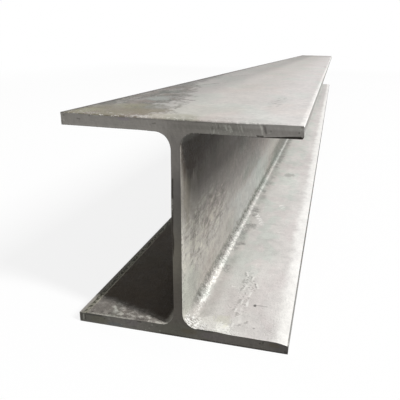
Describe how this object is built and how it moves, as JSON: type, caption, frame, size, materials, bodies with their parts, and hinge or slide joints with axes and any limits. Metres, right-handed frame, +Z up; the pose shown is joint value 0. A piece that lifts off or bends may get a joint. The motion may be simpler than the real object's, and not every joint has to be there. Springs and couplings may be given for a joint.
{
  "type": "steel i-beam",
  "caption": "Straight hot-rolled wide-flange steel beam with equal parallel flanges, a filleted web and square-cut ends.",
  "frame": {"origin": "centre of the lower flange's underside, halfway along the beam", "axes": "+Y along the beam, +Z up from the lower flange to the upper one, +X across the flanges"},
  "size_m": [0.203, 3, 0.203],
  "materials": {
    "mill_steel": "hot-rolled mill finish, matte grey with thin scale"
  },
  "bodies": {
    "root": {"i_beam": "mill_steel"}
  },
  "joints": []
}
